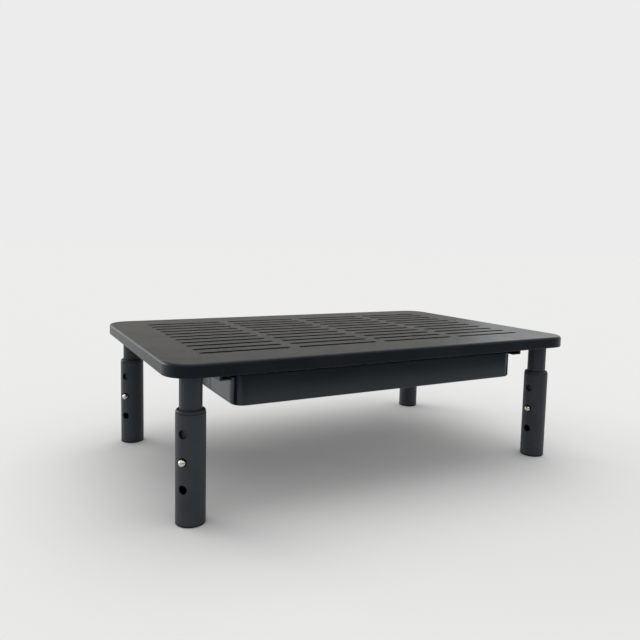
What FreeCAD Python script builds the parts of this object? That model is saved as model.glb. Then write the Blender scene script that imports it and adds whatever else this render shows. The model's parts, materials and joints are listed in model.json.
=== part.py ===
import FreeCAD, Part
import math
import os
import re

import Sketcher

# Laptop stand with a drawer: a slotted platform on four telescopic legs.
# X runs to the right, Y to the back and Z up, with the origin on the ground
# under the platform's middle. The legs stand at the middle of three heights.

# Lengths are in millimetres and turns in degrees.
SIZES = {
    # platform
    "platform_width": 370.0,
    "platform_depth": 235.0,
    "stand_height": 114.0,
    "sheet_thickness": 1.2,
    "skirt_depth": 9.5,
    "platform_corner_radius": 20.0,
    "platform_edge_radius": 2.2,
    "skirt_edge_share": 0.45,
    # vent slots in the platform
    "slot_rows": 11,
    "slot_columns": 4,
    "slot_row_pitch": 16.0,
    "slot_field_margin": 31.0,
    "slot_width": 5.0,
    "slot_column_gap": 8.0,
    # legs: where they stand and which way their buttons face
    "leg_inset": 20.0,
    "left_leg_turn": -138.0,
    "right_leg_turn": -170.0,
    # outer tube, the lower sleeve of each leg
    "sleeve_diameter": 20.8,
    "sleeve_wall": 1.5,
    "sleeve_edge_radius": 0.4,
    "sleeve_top_height": 77.6,
    "hole_diameter": 6.4,
    "hole_count": 3,
    "hole_pitch": 19.0,
    "middle_hole_height": 45.4,
    # inner tube
    "tube_gap": 1.0,
    "tube_wall": 1.0,
    "tube_end_below_button": 12.5,
    "tube_hole_clearance": 0.3,
    # collar in the sleeve's top
    "collar_height": 2.5,
    "collar_inset": 0.2,
    "collar_seam_chamfer": 0.4,
    "collar_edge_radius": 1.6,
    "collar_edge_largest_share": 0.9,
    "collar_mouth_chamfer": 0.4,
    "collar_spigot_length": 8.5,
    # foot in the sleeve's lower end
    "foot_thickness": 1.6,
    "foot_edge_chamfer": 0.6,
    "foot_spigot_length": 8.0,
    "foot_spigot_wall": 1.6,
    # guide at the inner tube's lower end
    "guide_thickness": 2.0,
    "guide_spigot_length": 5.0,
    "guide_spigot_wall": 1.8,
    # plug in the inner tube's upper end
    "plug_flange_thickness": 1.5,
    "plug_length": 12.0,
    # leg bolt and its weld nut
    "leg_bolt_diameter": 6.0,
    "leg_bolt_head_width": 10.0,
    "leg_bolt_head_height": 4.0,
    "leg_bolt_end_gap": 0.5,
    "leg_nut_height": 6.5,
    "leg_nut_diameter": 10.0,
    "leg_nut_flange_diameter": 16.0,
    "leg_nut_flange_thickness": 1.5,
    # leaf spring inside the inner tube
    "leaf_width": 6.0,
    "leaf_thickness": 0.6,
    "leaf_clearance": 0.15,
    "leaf_bend_radius": 2.2,
    "leaf_below_button": 5.0,
    "leaf_straight_above_button": 6.0,
    "leaf_above_button": 24.0,
    # snap button
    "button_clearance": 0.6,
    "button_drop": 0.3,
    "button_protrusion": 2.8,
    "button_dome_height": 2.4,
    "button_flange_overlap": 0.6,
    "button_flange_thickness": 0.6,
    "button_flange_clearance": 0.17,
    "rivet_diameter": 2.0,
    "rivet_head_diameter": 3.8,
    "rivet_head_height": 0.8,
    # drawer tray
    "drawer_height": 22.3,
    "drawer_face_setback": 19.5,
    "drawer_back_setback": 20.5,
    "drawer_wall": 2.0,
    "drawer_corner_radius": 10.0,
    "drawer_edge_radius": 2.0,
    "drawer_rim_radius": 0.3,
    "drawer_flange_thickness": 1.2,
    "drawer_flange_margin": 2.0,
    "drawer_ear_clearance": 0.4,
    "drawer_ear_reach": 1.4,
    "drawer_ear_length": 5.0,
    "drawer_held_length": 45.0,
    "side_line_setback": 53.2,
    "side_line_width": 1.0,
    "side_line_depth": 0.5,
    # drawer rails
    "rail_leg_gap": 10.2,
    "rail_overhang": 10.4,
    "rail_wall": 1.6,
    "rail_height": 16.2,
    "rail_flange_width": 18.0,
    "rail_lip_thickness": 1.0,
    "rail_lip_gap": 0.9,
    "rail_front_setback": 1.4,
    "hold_down_thickness": 1.8,
    "hold_down_reach": 5.6,
    "stop_rib_setback": 5.0,
    "stop_rib_length": 2.0,
    "stop_rib_reach": 1.2,
    # rail screws, their weld nuts and the bosses that they pull up
    "rail_screw_count": 4,
    "rail_screw_row_step": 3,
    "rail_screw_inset": 13.4,
    "rail_screw_diameter": 4.0,
    "rail_screw_head_diameter": 7.6,
    "rail_screw_head_height": 2.4,
    "rail_screw_dome_height": 1.5,
    "rail_screw_end_gap": 0.3,
    "rail_nut_diameter": 8.0,
    "rail_nut_height": 2.2,
    "rail_boss_diameter": 11.6,
    "rail_boss_floor": 2.2,
    # clearances and fits
    "push_fit": 0.05,
    "running_fit": 0.05,
    "guide_clearance": 0.1,
    "thread_clearance": 0.05,
    "rivet_clearance": 0.1,
    "bolt_clearance": 0.2,
    "nut_pocket_clearance": 0.4,
    "slide_clearance": 0.3,
    "hold_down_clearance": 0.4,
    "drawer_stop_gap": 0.4,
    # how far a cutting shape passes the face that it breaks
    "overrun": 1.0,
}

# Places that several pieces share, as sums of the sizes above.
SHEET_UNDERSIDE = "(stand_height - sheet_thickness)"
SLOT_LENGTH = (
    "((platform_width - 2 * slot_field_margin - (slot_columns - 1) * slot_column_gap)"
    " / slot_columns)"
)
SKIRT_BOTTOM = "(stand_height - skirt_depth)"
LEG_X = "(platform_width / 2 - leg_inset)"
LEG_Y = "(platform_depth / 2 - leg_inset)"
SLEEVE_RADIUS = "(sleeve_diameter / 2)"
SLEEVE_BORE = "(sleeve_diameter / 2 - sleeve_wall)"
TUBE_RADIUS = f"({SLEEVE_BORE} - tube_gap)"
TUBE_BORE = f"({TUBE_RADIUS} - tube_wall)"
NUT_BOTTOM = f"({SHEET_UNDERSIDE} - leg_nut_height)"
TUBE_TOP = f"({NUT_BOTTOM} - plug_flange_thickness)"
BUTTON_HEIGHT = "(middle_hole_height - button_drop)"
TUBE_BOTTOM = f"({BUTTON_HEIGHT} - tube_end_below_button)"
BUTTON_RADIUS = "(hole_diameter / 2 - button_clearance)"
TUBE_HOLE = f"({BUTTON_RADIUS} + tube_hole_clearance)"
BUTTON_FLANGE = f"({TUBE_HOLE} + button_flange_overlap)"
LEAF_FRONT = (
    f"(sqrt(({TUBE_BORE} - button_flange_clearance)^2 - {BUTTON_FLANGE}^2)"
    " - button_flange_thickness)"
)
LEAF_BACK = f"sqrt(({TUBE_BORE} - leaf_clearance)^2 - (leaf_width / 2)^2)"
PLUG_BOTTOM = f"({TUBE_TOP} - plug_length)"
RAIL_OUTSIDE = f"({LEG_X} - {SLEEVE_RADIUS} - rail_leg_gap)"
RAIL_WEB = f"({RAIL_OUTSIDE} - rail_wall)"
DRAWER_SIDE = f"({RAIL_OUTSIDE} - rail_overhang)"
DRAWER_DEPTH = "(platform_depth - drawer_face_setback - drawer_back_setback)"
DRAWER_FACE = "(drawer_face_setback - platform_depth / 2)"
DRAWER_BACK = f"({DRAWER_FACE} + {DRAWER_DEPTH})"
DRAWER_TRAVEL = f"({DRAWER_DEPTH} - drawer_held_length)"
LIP_TOP = f"({SHEET_UNDERSIDE} - rail_height + rail_lip_thickness)"
DRAWER_RIM = f"({LIP_TOP} + slide_clearance + drawer_flange_thickness + drawer_rim_radius)"
CHANNEL_HEIGHT = "(slide_clearance + drawer_flange_thickness + hold_down_clearance)"
RAIL_FRONT = f"({DRAWER_FACE} + rail_front_setback)"
RAIL_BACK = f"({DRAWER_BACK} + drawer_stop_gap + rail_wall)"
STOP_RIB_FRONT = f"({RAIL_FRONT} + stop_rib_setback)"
NUT_POCKET = "(rail_nut_height + slide_clearance)"
BOSS_BOTTOM = f"({NUT_POCKET} + rail_boss_floor)"
SCREW_X = f"({RAIL_OUTSIDE} - rail_screw_inset)"
SCREW_STEP = "(rail_screw_row_step * slot_row_pitch)"
SCREW_FIRST = f"(-{SCREW_STEP} * (rail_screw_count - 1) / 2)"

# A leg's name, its side along X and along Y, and the size that turns it.
LEGS = (
    ("front_left", -1, -1, "left_leg_turn"),
    ("front_right", 1, -1, "right_leg_turn"),
    ("back_left", -1, 1, "left_leg_turn"),
    ("back_right", 1, 1, "right_leg_turn"),
)

doc = FreeCAD.newDocument("LaptopStand")
sheet = doc.addObject("Spreadsheet::Sheet", "Sizes")
for row, (alias, number) in enumerate(SIZES.items(), start=1):
    sheet.set(f"A{row}", alias)
    sheet.set(f"B{row}", str(number))
    sheet.setAlias(f"B{row}", alias)
doc.recompute()

# Two places nearer than this are taken as one.
SAME_PLACE = 0.001
QUARTER_TURN = math.pi / 2

WORD = re.compile(r"[a-z][a-z_]*")
H_AXIS = -1
V_AXIS = -2
ORIGIN_POINT = (-1, 1)
START, END, CENTRE = 1, 2, 3


def full(text):
    """An expression with each size written as a cell of the sheet."""
    return WORD.sub(lambda m: "Sizes." + m.group() if m.group() in SIZES else m.group(), text)


def measure(text):
    """The number that an expression gives with the sheet as it stands."""
    return float(sheet.evalExpression(full(text)))


def bind(thing, **expressions):
    """Ties each named property of an object to an expression."""
    for name, text in expressions.items():
        thing.setExpression(name, full(text))


def place(thing, x="0", y="0", z="0", turn="0"):
    """Ties an object's place, and its turn about the vertical, to expressions."""
    thing.Placement = FreeCAD.Placement(
        FreeCAD.Vector(), FreeCAD.Rotation(FreeCAD.Vector(0, 0, 1), 1)
    )
    for axis, text in (("x", x), ("y", y), ("z", z)):
        thing.setExpression(f"Placement.Base.{axis}", full(text))
    thing.setExpression("Placement.Rotation.Angle", full(turn))


def new_body(label):
    """An empty body whose label names the piece."""
    body = doc.addObject("PartDesign::Body", label)
    body.Label = label
    return body


def origin_item(body, role):
    """One of the body's own planes or axes."""
    return next(item for item in body.Origin.OriginFeatures if item.Role == role)


def new_sketch(body, name, plane, lift="0"):
    """A sketch on one of the body's planes, lifted along the plane's normal."""
    sketch = body.newObject("Sketcher::SketchObject", name)
    sketch.AttachmentSupport = [(origin_item(body, plane), "")]
    sketch.MapMode = "FlatFace"
    sketch.setExpression("AttachmentOffset.Base.z", full(lift))
    return sketch


def fix(sketch, geometry, point, x, y):
    """Ties a point of the sketch to its place."""
    for kind, axis, text in (("DistanceX", V_AXIS, x), ("DistanceY", H_AXIS, y)):
        if abs(measure(text)) < SAME_PLACE:
            sketch.addConstraint(Sketcher.Constraint("PointOnObject", geometry, point, axis))
            continue
        number = sketch.addConstraint(
            Sketcher.Constraint(kind, *ORIGIN_POINT, geometry, point, measure(text))
        )
        sketch.setExpression(f"Constraints[{number}]", full(text))


def tie(sketch, kind, *operands, text):
    """Adds a constraint whose size is an expression."""
    number = sketch.addConstraint(Sketcher.Constraint(kind, *operands, measure(text)))
    sketch.setExpression(f"Constraints[{number}]", full(text))


def point_at(x, y):
    return FreeCAD.Vector(measure(x), measure(y), 0)


def path(sketch, points):
    """Straight lines from point to point, each end tied to its place."""
    corners = [point_at(x, y) for x, y in points]
    lines = [
        sketch.addGeometry(Part.LineSegment(first, second))
        for first, second in zip(corners, corners[1:])
    ]
    fix(sketch, lines[0], START, *points[0])
    for line, following in zip(lines, lines[1:]):
        sketch.addConstraint(Sketcher.Constraint("Coincident", line, END, following, START))
    for line, (x, y) in zip(lines, points[1:]):
        fix(sketch, line, END, x, y)
    return lines


def join(sketch, first, first_end, second, second_end):
    """A line between two ends that are there already."""
    line = sketch.addGeometry(
        Part.LineSegment(sketch.getPoint(first, first_end), sketch.getPoint(second, second_end))
    )
    sketch.addConstraint(Sketcher.Constraint("Coincident", line, START, first, first_end))
    sketch.addConstraint(Sketcher.Constraint("Coincident", line, END, second, second_end))
    return line


def outline(sketch, points):
    """A closed outline of straight lines through the points."""
    lines = path(sketch, points)
    join(sketch, lines[-1], END, lines[0], START)


def arc(sketch, x, y, radius, start, end):
    """Part of a circle, tied to its centre."""
    whole = Part.Circle(point_at(x, y), FreeCAD.Vector(0, 0, 1), measure(radius))
    drawn = sketch.addGeometry(Part.ArcOfCircle(whole, start, end))
    fix(sketch, drawn, CENTRE, x, y)
    return drawn


def circle(sketch, x, y, radius):
    """A circle tied to its centre and radius."""
    ring = sketch.addGeometry(
        Part.Circle(point_at(x, y), FreeCAD.Vector(0, 0, 1), measure(radius))
    )
    fix(sketch, ring, CENTRE, x, y)
    tie(sketch, "Radius", ring, text=radius)
    return ring


def smooth_line(sketch, first, second):
    """A line that runs on from the end of one arc into the start of the next."""
    line = sketch.addGeometry(
        Part.LineSegment(sketch.getPoint(first, END), sketch.getPoint(second, START))
    )
    sketch.addConstraint(Sketcher.Constraint("Tangent", first, END, line, START))
    sketch.addConstraint(Sketcher.Constraint("Tangent", line, END, second, START))


def rounded_rectangle(sketch, x0, x1, y0, y1, radius):
    """A rectangle with quarter-circle corners, tied at its four corner centres."""
    centres = (
        (f"{x1} - {radius}", f"{y1} - {radius}"),
        (f"{x0} + {radius}", f"{y1} - {radius}"),
        (f"{x0} + {radius}", f"{y0} + {radius}"),
        (f"{x1} - {radius}", f"{y0} + {radius}"),
    )
    corners = [
        arc(sketch, x, y, radius, n * QUARTER_TURN, (n + 1) * QUARTER_TURN)
        for n, (x, y) in enumerate(centres)
    ]
    for n, corner in enumerate(corners):
        smooth_line(sketch, corner, corners[(n + 1) % len(corners)])
    tie(sketch, "Radius", corners[0], text=radius)


def slot_shape(sketch, x0, x1, y, width):
    """A slot with half-round ends, running along X."""
    radius = f"{width} / 2"
    right = arc(sketch, f"{x1} - {radius}", y, radius, -QUARTER_TURN, QUARTER_TURN)
    left = arc(sketch, f"{x0} + {radius}", y, radius, QUARTER_TURN, 3 * QUARTER_TURN)
    smooth_line(sketch, right, left)
    smooth_line(sketch, left, right)
    tie(sketch, "Radius", right, text=radius)


def pad(body, sketch, length, backwards=False):
    """Adds the sketch's area, drawn out by a length."""
    feature = body.newObject("PartDesign::Pad", sketch.Name + "Pad")
    feature.Profile = sketch
    feature.Reversed = backwards
    bind(feature, Length=length)
    doc.recompute()
    return feature


def pocket(body, sketch, length, backwards=False):
    """Cuts the sketch's area away, to a depth, and makes sure that it cut."""
    before = body.Shape.Volume
    feature = body.newObject("PartDesign::Pocket", sketch.Name + "Pocket")
    feature.Profile = sketch
    feature.Reversed = backwards
    bind(feature, Length=length)
    doc.recompute()
    if not body.Shape.Volume < before:
        raise RuntimeError(f"{sketch.Name} cuts nothing")
    return feature


def revolve(body, sketch, axis="V_Axis"):
    """Turns the sketch once round one of its axes."""
    feature = body.newObject("PartDesign::Revolution", sketch.Name + "Revolution")
    feature.Profile = sketch
    feature.ReferenceAxis = (sketch, [axis])
    feature.Angle = 360
    doc.recompute()
    return feature


def fillet(body, radius, wanted):
    """Rounds the edges for which wanted(edge) is true."""
    base = body.Tip
    names = [f"Edge{n}" for n, edge in enumerate(base.Shape.Edges, start=1) if wanted(edge)]
    if not names:
        raise RuntimeError(f"{body.Label} has no such edge to round")
    feature = body.newObject("PartDesign::Fillet", "Rounding")
    feature.Base = (base, names)
    bind(feature, Radius=radius)
    doc.recompute()
    return feature


def pattern(body, features, axis, step, count):
    """Repeats features along one of the body's axes."""
    row_of = body.newObject("PartDesign::LinearPattern", "Row")
    row_of.Originals = features
    row_of.Direction = (origin_item(body, axis), [""])
    bind(row_of, Length=f"{step} * ({count} - 1)", Occurrences=count)
    body.Tip = row_of
    doc.recompute()
    return row_of


def mirror(body, features, plane):
    """Repeats features on the other side of one of the body's planes."""
    feature = body.newObject("PartDesign::Mirrored", "OtherSide")
    feature.Originals = features
    feature.MirrorPlane = (origin_item(body, plane), [""])
    body.Tip = feature
    doc.recompute()
    return feature


def level(edge, height):
    """Whether an edge lies flat at a height in its body's own frame."""
    box = edge.BoundBox
    gaps = (abs(z - measure(height)) for z in (box.ZMin, box.ZMax))
    return max(gaps) < SAME_PLACE


def group(label, members):
    """One piece name for several separate solids that are alike."""
    gathered = doc.addObject("Part::Compound", label)
    gathered.Label = label
    gathered.Links = members
    return gathered


def make_platform():
    """A pressed sheet: flat top, round corners, skirt all round, rows of slots."""
    body = new_body("platform")
    half_x, half_y = "platform_width / 2", "platform_depth / 2"
    outside = new_sketch(body, "PlatformOutside", "XY_Plane")
    rounded_rectangle(
        outside, f"-{half_x}", half_x, f"-{half_y}", half_y, "platform_corner_radius"
    )
    pad(body, outside, "skirt_depth")
    fillet(body, "platform_edge_radius", lambda edge: level(edge, "skirt_depth"))
    inside = new_sketch(body, "PlatformInside", "XY_Plane")
    inner_x, inner_y = f"({half_x} - sheet_thickness)", f"({half_y} - sheet_thickness)"
    inner_radius = "(platform_corner_radius - sheet_thickness)"
    rounded_rectangle(inside, f"-{inner_x}", inner_x, f"-{inner_y}", inner_y, inner_radius)
    pocket(body, inside, "skirt_depth - sheet_thickness", backwards=True)
    fillet(
        body,
        "platform_edge_radius - sheet_thickness",
        lambda edge: level(edge, "skirt_depth - sheet_thickness"),
    )
    fillet(body, "sheet_thickness * skirt_edge_share", lambda edge: level(edge, "0"))
    slots = new_sketch(body, "PlatformSlots", "XY_Plane")
    columns = int(measure("slot_columns"))
    step = f"({SLOT_LENGTH} + slot_column_gap)"
    first = "(slot_field_margin - platform_width / 2)"
    row_y = "(-slot_row_pitch * (slot_rows - 1) / 2)"
    for column in range(columns):
        left = f"({first} + {column} * {step})"
        slot_shape(slots, left, f"({left} + {SLOT_LENGTH})", row_y, "slot_width")
    cut = pocket(body, slots, "skirt_depth + overrun", backwards=True)
    pattern(body, [cut], "Y_Axis", "slot_row_pitch", "slot_rows")
    place(body, z=SKIRT_BOTTOM)
    return body


def make_rail(label, side):
    """A moulded rail: flange under the sheet, web, hold-down rib and lip."""
    body = new_body(label)
    lip_edge = f"({DRAWER_SIDE} + rail_lip_gap)"
    lip_top = "(rail_lip_thickness - rail_height)"
    rib_under = f"({lip_top} + {CHANNEL_HEIGHT})"
    rib_top = f"({rib_under} + hold_down_thickness)"
    rib_edge = f"({RAIL_WEB} - hold_down_reach)"
    flange_edge = f"({RAIL_OUTSIDE} - rail_flange_width)"
    profile = new_sketch(body, "RailProfile", "XZ_Plane")
    points = (
        (RAIL_OUTSIDE, "0"),
        (RAIL_OUTSIDE, "-rail_height"),
        (lip_edge, "-rail_height"),
        (lip_edge, lip_top),
        (RAIL_WEB, lip_top),
        (RAIL_WEB, rib_under),
        (rib_edge, rib_under),
        (rib_edge, rib_top),
        (RAIL_WEB, rib_top),
        (RAIL_WEB, "-rail_wall"),
        (flange_edge, "-rail_wall"),
        (flange_edge, "0"),
    )
    outline(profile, [(f"{side} * {x}", z) for x, z in points])
    pad(body, profile, f"{RAIL_BACK} - {RAIL_FRONT}")
    end_wall = new_sketch(body, "RailEndWall", "XZ_Plane")
    corners = (
        (lip_edge, "-rail_height"),
        (RAIL_OUTSIDE, "-rail_height"),
        (RAIL_OUTSIDE, "0"),
        (lip_edge, "0"),
    )
    outline(end_wall, [(f"{side} * {x}", z) for x, z in corners])
    pad(body, end_wall, "rail_wall")
    rib_back = f"({STOP_RIB_FRONT} - {RAIL_BACK} + stop_rib_length)"
    stop_rib = new_sketch(body, "RailStopRib", "XY_Plane", lift=lip_top)
    rib_corners = (
        (f"({RAIL_WEB} - stop_rib_reach)", f"{STOP_RIB_FRONT} - {RAIL_BACK}"),
        (RAIL_WEB, f"{STOP_RIB_FRONT} - {RAIL_BACK}"),
        (RAIL_WEB, rib_back),
        (f"({RAIL_WEB} - stop_rib_reach)", rib_back),
    )
    outline(stop_rib, [(f"{side} * {x}", y) for x, y in rib_corners])
    pad(body, stop_rib, CHANNEL_HEIGHT)
    screw = (f"{side} * {SCREW_X}", f"{SCREW_FIRST} - {RAIL_BACK}")
    boss = new_sketch(body, "RailBoss", "XY_Plane")
    circle(boss, *screw, "rail_boss_diameter / 2")
    boss_pad = pad(body, boss, BOSS_BOTTOM, backwards=True)
    nut_pocket = new_sketch(body, "RailNutPocket", "XY_Plane")
    circle(nut_pocket, *screw, "rail_nut_diameter / 2 + nut_pocket_clearance")
    nut_cut = pocket(body, nut_pocket, NUT_POCKET)
    screw_hole = new_sketch(body, "RailScrewHole", "XY_Plane")
    circle(screw_hole, *screw, "rail_screw_diameter / 2 + bolt_clearance")
    hole_cut = pocket(body, screw_hole, f"{BOSS_BOTTOM} + overrun")
    pattern(body, [boss_pad, nut_cut, hole_cut], "Y_Axis", SCREW_STEP, "rail_screw_count")
    place(body, y=RAIL_BACK, z=SHEET_UNDERSIDE)
    return body


def make_drawer():
    """A moulded tray, hung by a flange along each side of its rim."""
    body = new_body("drawer_tray")
    outside = new_sketch(body, "TrayOutside", "XY_Plane")
    rounded_rectangle(
        outside, f"-{DRAWER_SIDE}", DRAWER_SIDE, "0", DRAWER_DEPTH, "drawer_corner_radius"
    )
    pad(body, outside, "drawer_height", backwards=True)
    fillet(body, "drawer_edge_radius", lambda edge: level(edge, "-drawer_height"))
    inside = new_sketch(body, "TrayInside", "XY_Plane")
    inner_x = f"({DRAWER_SIDE} - drawer_wall)"
    rounded_rectangle(
        inside,
        f"-{inner_x}",
        inner_x,
        "drawer_wall",
        f"({DRAWER_DEPTH} - drawer_wall)",
        "(drawer_corner_radius - drawer_wall)",
    )
    pocket(body, inside, "drawer_height - drawer_wall")
    fillet(body, "drawer_edge_radius", lambda edge: level(edge, "drawer_wall - drawer_height"))
    fillet(body, "drawer_rim_radius", lambda edge: level(edge, "0"))
    ear_edge = f"({RAIL_WEB} - drawer_ear_clearance)"
    flange_edge = f"({ear_edge} - drawer_ear_reach)"
    ear_front = (
        f"({STOP_RIB_FRONT} + stop_rib_length - {DRAWER_FACE} + {DRAWER_TRAVEL} + slide_clearance)"
    )
    ear_back = f"({ear_front} + drawer_ear_length)"
    root = f"({DRAWER_SIDE} - drawer_wall / 2)"
    flange_front = "(drawer_corner_radius + drawer_flange_margin)"
    flange_back = f"({DRAWER_DEPTH} - drawer_corner_radius)"
    flange = new_sketch(body, "TrayFlange", "XY_Plane", lift="-drawer_rim_radius")
    points = (
        (root, flange_front),
        (flange_edge, flange_front),
        (flange_edge, ear_front),
        (ear_edge, ear_front),
        (ear_edge, ear_back),
        (flange_edge, ear_back),
        (flange_edge, flange_back),
        (root, flange_back),
    )
    outline(flange, points)
    rib = pad(body, flange, "drawer_flange_thickness", backwards=True)
    mirror(body, [rib], "YZ_Plane")
    line_top = "(drawer_rim_radius + drawer_flange_thickness)"
    line = new_sketch(body, "TraySideLine", "XY_Plane", lift=f"-{line_top}")
    groove_back = "(side_line_setback + side_line_width)"
    groove_floor = f"({DRAWER_SIDE} - side_line_depth)"
    groove = (
        (groove_floor, "side_line_setback"),
        (f"({DRAWER_SIDE} + overrun)", "side_line_setback"),
        (f"({DRAWER_SIDE} + overrun)", groove_back),
        (groove_floor, groove_back),
    )
    outline(line, groove)
    groove_cut = pocket(body, line, f"drawer_height - {line_top} - drawer_edge_radius")
    mirror(body, [groove_cut], "YZ_Plane")
    place(body, y=DRAWER_FACE, z=DRAWER_RIM)
    return body


def ring(body, name, outer, inner, bottom, top):
    """A tube between two heights."""
    section = new_sketch(body, name, "XY_Plane", lift=bottom)
    circle(section, "0", "0", outer)
    circle(section, "0", "0", inner)
    return pad(body, section, f"{top} - {bottom}")


def button_hole(body, height, radius, reach):
    """A round hole through one wall of a tube, on the button's side."""
    hole = new_sketch(body, "ButtonHole", "YZ_Plane")
    circle(hole, "0", height, radius)
    return pocket(body, hole, f"{reach} + overrun", backwards=True)


def make_outer_tube(label, **at):
    """The sleeve, with three holes in a line."""
    body = new_body(label)
    ring(body, "Sleeve", SLEEVE_RADIUS, SLEEVE_BORE, "foot_thickness", "sleeve_top_height")
    lowest_height = "(middle_hole_height - hole_pitch * (hole_count - 1) / 2)"
    lowest = button_hole(body, lowest_height, "hole_diameter / 2", SLEEVE_RADIUS)
    pattern(body, [lowest], "Z_Axis", "hole_pitch", "hole_count")
    round_edge(body, "sleeve_edge_radius", "sleeve_top_height", SLEEVE_RADIUS)
    place(body, **at)
    return body


def make_inner_tube(label, **at):
    """The tube that hangs from the platform and carries the button."""
    body = new_body(label)
    ring(body, "Tube", TUBE_RADIUS, TUBE_BORE, TUBE_BOTTOM, TUBE_TOP)
    button_hole(body, BUTTON_HEIGHT, TUBE_HOLE, TUBE_RADIUS)
    place(body, **at)
    return body


def turned(label, points, **at):
    """A piece turned from an outline of radius and height."""
    body = new_body(label)
    section = new_sketch(body, "Section", "XZ_Plane")
    outline(section, points)
    revolve(body, section)
    place(body, **at)
    return body


def round_edge(body, radius, height, at_radius):
    """Rounds the circular edge of a turned piece at a height and radius."""

    def wanted(edge):
        if not isinstance(edge.Curve, Part.Circle) or not level(edge, height):
            return False
        return abs(edge.Curve.Radius - measure(at_radius)) < SAME_PLACE

    fillet(body, radius, wanted)


def dome_radius(reach, rise):
    """The radius of a dome that is so wide from its middle and rises so far."""
    return f"((({reach})^2 + {rise}^2) / (2 * {rise}))"


def make_collar(label, **at):
    """A flanged bush in the sleeve's top, which the inner tube runs in."""
    bore = f"({TUBE_RADIUS} + running_fit)"
    spigot = f"({SLEEVE_BORE} - push_fit)"
    flange = f"({SLEEVE_RADIUS} - collar_inset)"
    top = "(sleeve_top_height + collar_height)"
    bottom = "(sleeve_top_height - collar_spigot_length)"
    points = (
        (bore, bottom),
        (spigot, bottom),
        (spigot, "sleeve_top_height"),
        (f"({flange} - collar_seam_chamfer)", "sleeve_top_height"),
        (flange, "sleeve_top_height + collar_seam_chamfer"),
        (flange, top),
        (f"({bore} + collar_mouth_chamfer)", top),
        (bore, f"({top} - collar_mouth_chamfer)"),
    )
    body = turned(label, points, **at)
    room = f"({flange} - {bore} - collar_mouth_chamfer) * collar_edge_largest_share"
    round_edge(body, f"min(collar_edge_radius; {room})", top, flange)
    return body


def make_foot(label, **at):
    """A foot that closes the sleeve's lower end."""
    spigot = f"({SLEEVE_BORE} - push_fit)"
    hollow = f"({spigot} - foot_spigot_wall)"
    top = "(foot_thickness + foot_spigot_length)"
    points = (
        ("0", "0"),
        (f"({SLEEVE_RADIUS} - foot_edge_chamfer)", "0"),
        (SLEEVE_RADIUS, "foot_edge_chamfer"),
        (SLEEVE_RADIUS, "foot_thickness"),
        (spigot, "foot_thickness"),
        (spigot, top),
        (hollow, top),
        (hollow, "foot_thickness"),
        ("0", "foot_thickness"),
    )
    return turned(label, points, **at)


def make_lower_guide(label, **at):
    """A ring at the inner tube's end, which keeps it central in the sleeve."""
    flange = f"({SLEEVE_BORE} - guide_clearance)"
    spigot = f"({TUBE_BORE} - push_fit)"
    bore = f"({spigot} - guide_spigot_wall)"
    bottom = f"({TUBE_BOTTOM} - guide_thickness)"
    top = f"({TUBE_BOTTOM} + guide_spigot_length)"
    points = (
        (bore, bottom),
        (flange, bottom),
        (flange, TUBE_BOTTOM),
        (spigot, TUBE_BOTTOM),
        (spigot, top),
        (bore, top),
    )
    return turned(label, points, **at)


def make_top_plug(label, **at):
    """A plug in the inner tube's upper end, which the leg bolt pulls up."""
    bore = "(leg_bolt_diameter / 2 + bolt_clearance)"
    spigot = f"({TUBE_BORE} - push_fit)"
    points = (
        (bore, PLUG_BOTTOM),
        (spigot, PLUG_BOTTOM),
        (spigot, TUBE_TOP),
        (TUBE_RADIUS, TUBE_TOP),
        (TUBE_RADIUS, NUT_BOTTOM),
        (bore, NUT_BOTTOM),
    )
    return turned(label, points, **at)


def make_leaf_spring(label, **at):
    """A strip bent to a U: the button's arm, and the arm that bears on the far wall."""
    body = new_body(label)
    bend_x = f"(({LEAF_FRONT} - {LEAF_BACK}) / 2)"
    bend_outside = "(leaf_bend_radius + leaf_thickness)"
    bend_z = f"(leaf_above_button - {bend_outside})"
    tip_z, knee_z = "-leaf_below_button", "leaf_straight_above_button"
    profile = new_sketch(body, "LeafProfile", "XZ_Plane")
    tips = []
    for radius, thickness in ((bend_outside, "0"), ("leaf_bend_radius", "leaf_thickness")):
        front_x = f"({LEAF_FRONT} - {thickness})"
        back_x = f"({thickness} - {LEAF_BACK})"
        bend = arc(profile, bend_x, bend_z, radius, 0, math.pi)
        tie(profile, "Radius", bend, text=radius)
        front = path(profile, [(front_x, tip_z), (front_x, knee_z)])[0]
        back = path(profile, [(back_x, tip_z), (back_x, knee_z)])[0]
        for straight, bend_end in ((front, START), (back, END)):
            slope = profile.addGeometry(
                Part.LineSegment(
                    profile.getPoint(straight, END), profile.getPoint(bend, bend_end)
                )
            )
            profile.addConstraint(Sketcher.Constraint("Coincident", straight, END, slope, START))
            profile.addConstraint(Sketcher.Constraint("Tangent", slope, END, bend, bend_end))
        tips.append((front, back))
    for outside, inside in zip(*tips):
        join(profile, outside, START, inside, START)
    strip = pad(body, profile, "leaf_width")
    strip.Midplane = True
    hole = new_sketch(body, "RivetHole", "YZ_Plane")
    circle(hole, "0", "0", "rivet_diameter / 2 + rivet_clearance")
    pocket(body, hole, f"{LEAF_FRONT} + overrun", backwards=True)
    place(body, **at)
    return body


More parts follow.
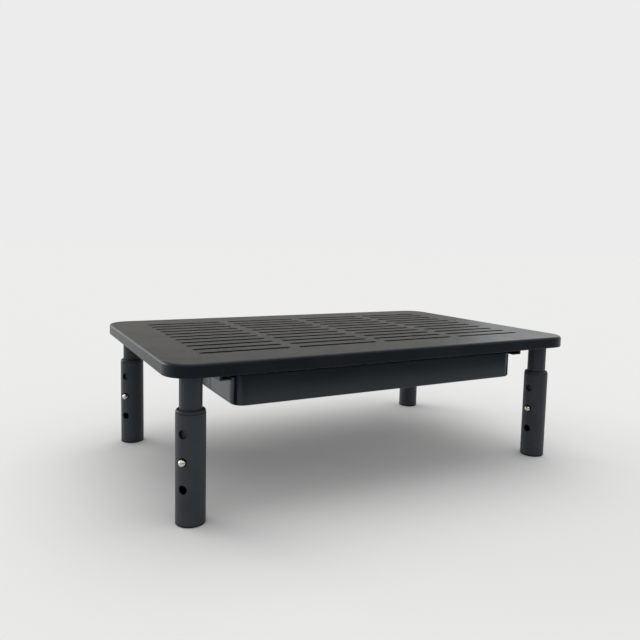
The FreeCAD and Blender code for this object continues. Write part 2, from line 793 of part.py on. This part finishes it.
def make_snap_button(label, **at):
    """A domed button with a flange inside the tube, riveted to the leaf."""
    body = new_body(label)
    leaf_in = f"({LEAF_FRONT} - leaf_thickness)"
    rivet_in = f"({leaf_in} - rivet_head_height)"
    flange_out = f"({LEAF_FRONT} + button_flange_thickness)"
    rivet, rivet_head = "rivet_diameter / 2", "rivet_head_diameter / 2"
    tip = f"({SLEEVE_RADIUS} + button_protrusion)"
    shoulder = f"({tip} - button_dome_height)"
    dome = dome_radius(BUTTON_RADIUS, "button_dome_height")
    section = new_sketch(body, "ButtonSection", "XY_Plane")
    points = (
        (rivet_in, "0"),
        (rivet_in, rivet_head),
        (leaf_in, rivet_head),
        (leaf_in, rivet),
        (LEAF_FRONT, rivet),
        (LEAF_FRONT, BUTTON_FLANGE),
        (flange_out, BUTTON_FLANGE),
        (flange_out, BUTTON_RADIUS),
        (shoulder, BUTTON_RADIUS),
    )
    lines = path(section, points)
    rise = math.asin(measure(BUTTON_RADIUS) / measure(dome))
    crown = arc(section, f"({tip} - {dome})", "0", dome, 0, rise)
    section.addConstraint(Sketcher.Constraint("Coincident", crown, END, lines[-1], END))
    section.addConstraint(Sketcher.Constraint("PointOnObject", crown, START, H_AXIS))
    join(section, crown, START, lines[0], START)
    revolve(body, section, axis="H_Axis")
    place(body, **at)
    return body


def make_leg_weld_nut(label, **at):
    """A flanged nut welded under the platform, which holds a leg."""
    bore = "(leg_bolt_diameter / 2 + thread_clearance)"
    barrel, flange = "leg_nut_diameter / 2", "leg_nut_flange_diameter / 2"
    points = (
        (bore, "-leg_nut_height"),
        (barrel, "-leg_nut_height"),
        (barrel, "-leg_nut_flange_thickness"),
        (flange, "-leg_nut_flange_thickness"),
        (flange, "0"),
        (bore, "0"),
    )
    return turned(label, points, **at)


def make_leg_bolt(label, **at):
    """A hexagon-headed bolt: head under the top plug, end in the weld nut."""
    head = doc.addObject("Part::Prism", label + "_head")
    head.Polygon = 6
    bind(head, Circumradius="leg_bolt_head_width / 2 / cos(30)", Height="leg_bolt_head_height")
    shank = doc.addObject("Part::Cylinder", label + "_shank")
    length = f"{SHEET_UNDERSIDE} - leg_bolt_end_gap - {PLUG_BOTTOM} + leg_bolt_head_height"
    bind(shank, Radius="leg_bolt_diameter / 2", Height=length)
    bolt = doc.addObject("Part::Fuse", label)
    bolt.Base = head
    bolt.Tool = shank
    place(bolt, **at)
    return bolt


def make_rail_weld_nut(label, **at):
    """A thin round nut welded under the platform, inside a rail's boss."""
    bore = "(rail_screw_diameter / 2 + thread_clearance)"
    outside = "rail_nut_diameter / 2"
    points = (
        (bore, "-rail_nut_height"),
        (outside, "-rail_nut_height"),
        (outside, "0"),
        (bore, "0"),
    )
    return turned(label, points, **at)


def make_rail_screw(label, **at):
    """A screw with a domed head, driven up through a rail's boss into its weld nut."""
    body = new_body(label)
    shank, head = "rail_screw_diameter / 2", "rail_screw_head_diameter / 2"
    seat, crown = f"(-{BOSS_BOTTOM})", f"(-{BOSS_BOTTOM} - rail_screw_head_height)"
    rim = f"({crown} + rail_screw_dome_height)"
    dome = dome_radius(head, "rail_screw_dome_height")
    section = new_sketch(body, "ScrewSection", "XZ_Plane")
    points = (
        ("0", "-rail_screw_end_gap"),
        (shank, "-rail_screw_end_gap"),
        (shank, seat),
        (head, seat),
        (head, rim),
    )
    lines = path(section, points)
    rise = math.asin(measure(head) / measure(dome))
    crown_arc = arc(section, "0", f"({crown} + {dome})", dome, -QUARTER_TURN, rise - QUARTER_TURN)
    section.addConstraint(Sketcher.Constraint("Coincident", crown_arc, END, lines[-1], END))
    section.addConstraint(Sketcher.Constraint("PointOnObject", crown_arc, START, V_AXIS))
    join(section, crown_arc, START, lines[0], START)
    revolve(body, section)
    place(body, **at)
    return body


def make_leg(name, at):
    """The eight pieces of one leg that are nodes of their own."""
    button_at = dict(at, z=BUTTON_HEIGHT)
    return [
        make_outer_tube(f"{name}_outer_tube", **at),
        make_collar(f"{name}_collar", **at),
        make_foot(f"{name}_foot", **at),
        make_inner_tube(f"{name}_inner_tube", **at),
        make_lower_guide(f"{name}_lower_guide", **at),
        make_top_plug(f"{name}_top_plug", **at),
        make_leaf_spring(f"{name}_leaf_spring", **button_at),
        make_snap_button(f"{name}_snap_button", **button_at),
    ]


def make_pieces():
    """Every piece that is a node, in one list."""
    pieces = [make_platform(), make_rail("left_rail", -1), make_rail("right_rail", 1)]
    pieces.append(make_drawer())
    leg_nuts, leg_bolts = [], []
    for name, side_x, side_y, turn in LEGS:
        at = {"x": f"{side_x} * {LEG_X}", "y": f"{side_y} * {LEG_Y}", "turn": turn}
        pieces += make_leg(name, at)
        leg_nuts.append(make_leg_weld_nut(f"{name}_leg_nut", **at, z=SHEET_UNDERSIDE))
        head_z = f"({PLUG_BOTTOM} - leg_bolt_head_height)"
        leg_bolts.append(make_leg_bolt(f"{name}_leg_bolt", **at, z=head_z))
    rail_nuts, rail_screws = [], []
    for side in (-1, 1):
        for number in range(int(measure("rail_screw_count"))):
            at = {
                "x": f"{side} * {SCREW_X}",
                "y": f"{SCREW_FIRST} + {number} * {SCREW_STEP}",
                "z": SHEET_UNDERSIDE,
            }
            mark = f"{'left' if side < 0 else 'right'}_{number + 1}"
            rail_nuts.append(make_rail_weld_nut(f"rail_nut_{mark}", **at))
            rail_screws.append(make_rail_screw(f"rail_screw_{mark}", **at))
    pieces.append(group("leg_weld_nuts", leg_nuts))
    pieces.append(group("leg_bolts", leg_bolts))
    pieces.append(group("rail_weld_nuts", rail_nuts))
    pieces.append(group("rail_screws", rail_screws))
    return pieces


def check(pieces):
    """Stops unless every object is sound and every piece is a valid solid."""
    for thing in doc.Objects:
        if {"Invalid", "Error"} & set(thing.State):
            raise RuntimeError(f"{thing.Label} failed: {thing.getStatusString()}")
    for piece in pieces:
        if piece.Shape.isNull() or not piece.Shape.isValid() or not piece.Shape.Solids:
            raise RuntimeError(f"{piece.Label} has no valid solid")


pieces = make_pieces()
doc.recompute()
check(pieces)
os.makedirs("parts", exist_ok=True)
for piece in pieces:
    piece.Shape.exportStep(f"parts/{piece.Label}.step")
print(f"{len(pieces)} pieces written")
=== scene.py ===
import json
import math

import bmesh
import bpy
from mathutils import Matrix, Vector

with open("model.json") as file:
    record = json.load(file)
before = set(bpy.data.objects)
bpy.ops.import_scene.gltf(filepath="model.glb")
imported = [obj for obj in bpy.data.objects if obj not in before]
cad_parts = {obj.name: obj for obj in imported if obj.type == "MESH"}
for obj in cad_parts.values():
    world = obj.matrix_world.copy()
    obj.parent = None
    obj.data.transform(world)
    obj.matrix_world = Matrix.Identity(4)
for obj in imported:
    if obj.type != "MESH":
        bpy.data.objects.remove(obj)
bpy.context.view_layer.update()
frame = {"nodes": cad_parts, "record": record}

# A slotted platform on four telescopic legs, with a drawer hung below it.
# Lengths are in metres. X runs to the right, Y to the back and Z up, with the
# origin on the ground under the platform's middle.

scene = bpy.context.scene
scene.view_settings.view_transform = "Standard"

# Camera

# As fitted to the photograph: its place, its turns in degrees, its focal length
# in pixels of the square picture, and how far the lens's axis lies above the
# picture's middle. A camera looks straight down until it is turned to the level.
CAMERA_PLACE = (-0.28077, -0.48997, 0.19080)
CAMERA_YAW = -28.556
CAMERA_PITCH = -5.32
CAMERA_ROLL = 1.287
TURN_TO_LEVEL = 90
FOCAL_PIXELS = 603.3
CENTRE_RISE_PIXELS = 17.07
PICTURE_PIXELS = 640
SENSOR_WIDTH_MM = 36.0

# Floor and sky

# A wide pale floor under a sky of the same brightness.
FLOOR_RADIUS = 40.0
FLOOR_SIDES = 96
FLOOR_COLOUR = (0.645, 0.645, 0.645, 1)
SKY_COLOUR = (1.0, 1.0, 1.0, 1)
SKY_STRENGTH = 0.839

# Lights

# Broad distant lights: name, the direction that each comes from, how wide it
# looks in degrees, its strength, its colour and whether it lights matt surfaces.
DISTANT_LIGHTS = (
    ("back_left_light", (-0.60, 0.79, 0.16), 36, 1.38, (1.0, 0.985, 0.95), True),
    ("high_light", (0.15, 0.20, 1.0), 66, 1.275, (1.0, 0.995, 0.985), True),
    ("back_right_rim", (0.80, 0.60, 0.10), 30, 0.12, (1.0, 1.0, 1.0), False),
)

# Cards

# Cards that only reflections show, which paint dark and grey reflections on the
# stand: name, middle, width, height, turn about X in degrees and colour. In these
# painted reflections the pale floor ends in front of the stand and at its left
# corner, with painted darkness beyond it and a painted grey wall at the back right.
# Each card is a square of one metre, stretched to its size.
CARD_HALF_SIDE = 0.5
# Card colours that only reflections show: painted dark and grey reflections, with no room standing
# there.
PAINTED_DARK_FLOOR_REFLECTION = (0.100, 0.113, 0.130, 1)
PAINTED_DARK_WALL_REFLECTION = (0.008, 0.011, 0.016, 1)
PAINTED_GREY_WALL_REFLECTION = (0.650, 0.625, 0.560, 1)
CARDS = (
    ("front_floor_card", (0.0, -1.926, 0.0005), 6.0, 3.0, 0, PAINTED_DARK_FLOOR_REFLECTION),
    ("left_floor_card", (-1.725, -0.271, 0.0005), 2.55, 0.31, 0, PAINTED_DARK_FLOOR_REFLECTION),
    ("front_wall_card", (0.0, -1.80, 0.28), 6.0, 0.56, 90, PAINTED_DARK_WALL_REFLECTION),
    ("back_wall_card", (1.30, 2.60, 1.0), 2.6, 2.0, 90, PAINTED_GREY_WALL_REFLECTION),
)

# Finishes

# Most values of a noise lie between these two. Its roughness is how strong its
# finer layers are.
NOISE_LOW = 0.3
NOISE_HIGH = 0.7
NOISE_ROUGHNESS = 0.55

# Black coats and plastics reflect a little blue, except at a glancing angle.
COOL_TINT = (0.80, 0.92, 1.0, 1)

# Plastics and rubber: slot, darkest and lightest colour, lowest and highest
# roughness, depth of the grain in metres and specular level.
PLASTICS = (
    ("drawer_plastic", (0.0038, 0.0056, 0.0078), (0.0064, 0.0084, 0.0108), 0.12, 0.16, 0.000003, 0.46),
    ("rail_plastic", (0.0120, 0.0130, 0.0140), (0.0180, 0.0190, 0.0200), 0.42, 0.52, 0.000010, 0.40),
    ("fitting_plastic", (0.0200, 0.0210, 0.0225), (0.0260, 0.0270, 0.0285), 0.50, 0.60, 0.000010, 0.30),
    ("rubber", (0.0150, 0.0150, 0.0155), (0.0230, 0.0230, 0.0230), 0.74, 0.86, 0.000020, 0.20),
)

# Bare metals: slot, darkest and lightest colour, lowest and highest roughness,
# and depth of the scratches in metres.
METALS = (
    ("nickel", (0.58, 0.545, 0.48), (0.68, 0.645, 0.58), 0.07, 0.14, 0.000002),
    ("zinc_plate", (0.50, 0.52, 0.56), (0.62, 0.64, 0.66), 0.26, 0.40, 0.000004),
    ("spring_steel", (0.20, 0.20, 0.21), (0.30, 0.29, 0.28), 0.24, 0.38, 0.000004),
)


def set_inputs(node, **values):
    """Sets a node's own sockets; an underscore stands for a space."""
    for name, value in values.items():
        node.inputs[name.replace("_", " ")].default_value = value


def new_material(name):
    material = bpy.data.materials.new(name)
    material.use_nodes = True
    return material


def turn(degrees, axis):
    return Matrix.Rotation(math.radians(degrees), 4, axis)


def make_camera():
    data = bpy.data.cameras.new("camera")
    data.sensor_width = SENSOR_WIDTH_MM
    data.lens = FOCAL_PIXELS / PICTURE_PIXELS * SENSOR_WIDTH_MM
    data.shift_y = -CENTRE_RISE_PIXELS / PICTURE_PIXELS
    camera = bpy.data.objects.new("camera", data)
    turns = turn(CAMERA_YAW, "Z") @ turn(TURN_TO_LEVEL + CAMERA_PITCH, "X") @ turn(CAMERA_ROLL, "Z")
    camera.matrix_world = Matrix.Translation(CAMERA_PLACE) @ turns
    scene.collection.objects.link(camera)
    scene.camera = camera


def plain_surface(name, shape, colour):
    """A matt sheet of one colour, which is part of the stage."""
    mesh = bpy.data.meshes.new(name)
    shape.to_mesh(mesh)
    shape.free()
    sheet = bpy.data.objects.new(name, mesh)
    scene.collection.objects.link(sheet)
    material = new_material(name + "_matt")
    shader = material.node_tree.nodes["Principled BSDF"]
    set_inputs(shader, Base_Color=colour, Roughness=1.0, Specular_IOR_Level=0.0)
    mesh.materials.append(material)
    return sheet


def make_stage():
    """A floor that runs to the horizon, and the cards that darken reflections."""
    shape = bmesh.new()
    bmesh.ops.create_circle(shape, cap_ends=True, radius=FLOOR_RADIUS, segments=FLOOR_SIDES)
    plain_surface("floor", shape, FLOOR_COLOUR)
    for name, middle, width, height, degrees, colour in CARDS:
        shape = bmesh.new()
        bmesh.ops.create_grid(shape, x_segments=1, y_segments=1, size=CARD_HALF_SIDE)
        card = plain_surface(name, shape, colour)
        card.location = middle
        card.rotation_euler = (math.radians(degrees), 0, 0)
        card.scale = (width, height, 1)
        card.visible_camera = False
        card.visible_diffuse = False
        card.visible_shadow = False


def make_lights():
    world = bpy.data.worlds.new("sky")
    world.use_nodes = True
    set_inputs(world.node_tree.nodes["Background"], Color=SKY_COLOUR, Strength=SKY_STRENGTH)
    scene.world = world
    for name, source, width, strength, colour, matt_too in DISTANT_LIGHTS:
        data = bpy.data.lights.new(name, "SUN")
        data.angle = math.radians(width)
        data.energy = strength
        data.color = colour
        light = bpy.data.objects.new(name, data)
        light.rotation_euler = (-Vector(source)).to_track_quat("-Z", "Y").to_euler()
        light.visible_camera = False
        light.visible_diffuse = matt_too
        scene.collection.objects.link(light)


class Paint:
    """A material being put together: its nodes, links and shader."""

    def __init__(self, name):
        self.material = new_material(name)
        self.tree = self.material.node_tree
        self.shader = self.tree.nodes["Principled BSDF"]
        self.place = self.add("ShaderNodeTexCoord").outputs["Object"]

    def add(self, kind, **values):
        node = self.tree.nodes.new(kind)
        set_inputs(node, **values)
        return node

    def wire(self, source, node, socket):
        self.tree.links.new(source, node.inputs[socket])

    def flattened(self, times):
        """The object's coordinates, which make a noise so many times finer in height."""
        node = self.add("ShaderNodeMapping", Scale=(1.0, 1.0, times))
        self.wire(self.place, node, "Vector")
        return node.outputs["Vector"]

    def noise(self, cells, detail, place=None):
        """A noise with so many cells in a metre."""
        node = self.add("ShaderNodeTexNoise", Scale=cells, Detail=detail, Roughness=NOISE_ROUGHNESS)
        self.wire(place or self.place, node, "Vector")
        return node.outputs["Fac"]

    def spread(self, noise, low, high):
        """Turns a noise into values from low to high."""
        node = self.add(
            "ShaderNodeMapRange", From_Min=NOISE_LOW, From_Max=NOISE_HIGH, To_Min=low, To_Max=high
        )
        self.wire(noise, node, "Value")
        return node.outputs["Result"]

    def sum(self, first, second):
        node = self.add("ShaderNodeMath")
        self.wire(first, node, 0)
        self.wire(second, node, 1)
        return node.outputs["Value"]

    def colours(self, noise, low, high):
        """Turns a noise into colours from one to another."""
        node = self.add("ShaderNodeValToRGB")
        ends = ((NOISE_LOW, low), (NOISE_HIGH, high))
        for element, (position, colour) in zip(node.color_ramp.elements, ends):
            element.position = position
            element.color = (*colour, 1)
        self.wire(noise, node, "Fac")
        return node.outputs["Color"]

    def relief(self, height, depth, below=None):
        """Bump of a real depth in metres, over any relief that is there already."""
        node = self.add("ShaderNodeBump", Strength=1.0, Distance=depth)
        self.wire(height, node, "Height")
        if below:
            self.wire(below, node, "Normal")
        return node.outputs["Normal"]

    def finished(self, colour, roughness, normal, **values):
        """Wires what varies over the surface and sets what doesn't."""
        self.wire(colour, self.shader, "Base Color")
        self.wire(roughness, self.shader, "Roughness")
        self.wire(normal, self.shader, "Normal")
        set_inputs(self.shader, **values)
        return self.material


def powder_coat():
    """Satin black powder coat: faint clouds, orange peel and fine grain."""
    paint = Paint("powder_coat")
    cloud = paint.noise(cells=38, detail=4)
    peel = paint.noise(cells=620, detail=1)
    grain = paint.noise(cells=2600, detail=2)
    return paint.finished(
        colour=paint.colours(cloud, low=(0.0036, 0.0052, 0.0074), high=(0.0062, 0.0080, 0.0104)),
        roughness=paint.sum(
            paint.spread(cloud, low=0.34, high=0.39), paint.spread(grain, low=-0.03, high=0.03)
        ),
        normal=paint.relief(grain, depth=0.000012, below=paint.relief(peel, depth=0.00004)),
        Specular_IOR_Level=0.2,
        Specular_Tint=COOL_TINT,
    )


def leg_coat():
    """Matt black powder coat with a fine sandy texture."""
    paint = Paint("leg_coat")
    cloud = paint.noise(cells=60, detail=3)
    grain = paint.noise(cells=3200, detail=2)
    return paint.finished(
        colour=paint.colours(cloud, low=(0.0225, 0.0245, 0.0285), high=(0.0285, 0.0310, 0.0355)),
        roughness=paint.spread(grain, low=0.42, high=0.54),
        normal=paint.relief(grain, depth=0.00003),
        Specular_IOR_Level=0.3,
        Specular_Tint=COOL_TINT,
    )


def black_plastic(slot, darkest, lightest, smoothest, roughest, grain_depth, level):
    """Moulded black plastic: fine grain and faint level smears."""
    paint = Paint(slot)
    smear = paint.noise(cells=14, detail=5, place=paint.flattened(3.0))
    grain = paint.noise(cells=4200, detail=1)
    return paint.finished(
        colour=paint.colours(smear, low=darkest, high=lightest),
        roughness=paint.sum(
            paint.spread(smear, low=smoothest, high=roughest), paint.spread(grain, low=-0.02, high=0.02)
        ),
        normal=paint.relief(grain, depth=grain_depth),
        Specular_IOR_Level=level,
        Specular_Tint=COOL_TINT,
    )


def bare_metal(slot, darkest, lightest, smoothest, roughest, scratch_depth):
    """Plated or polished metal with fine level scratches."""
    paint = Paint(slot)
    cloud = paint.noise(cells=180, detail=3)
    scratch = paint.noise(cells=900, detail=4, place=paint.flattened(6.0))
    return paint.finished(
        colour=paint.colours(cloud, low=darkest, high=lightest),
        roughness=paint.spread(scratch, low=smoothest, high=roughest),
        normal=paint.relief(scratch, depth=scratch_depth),
        Metallic=1.0,
    )


def finish_nodes():
    """Gives every CAD piece the finish of its material slot."""
    finishes = {"powder_coat": powder_coat(), "leg_coat": leg_coat()}
    finishes.update({row[0]: black_plastic(*row) for row in PLASTICS})
    finishes.update({row[0]: bare_metal(*row) for row in METALS})
    for part in frame["record"]["subparts"]:
        materials = frame["nodes"][part["node"]].data.materials
        materials.clear()
        materials.append(finishes[part["material_slot"]])


make_camera()
make_stage()
make_lights()
finish_nodes()
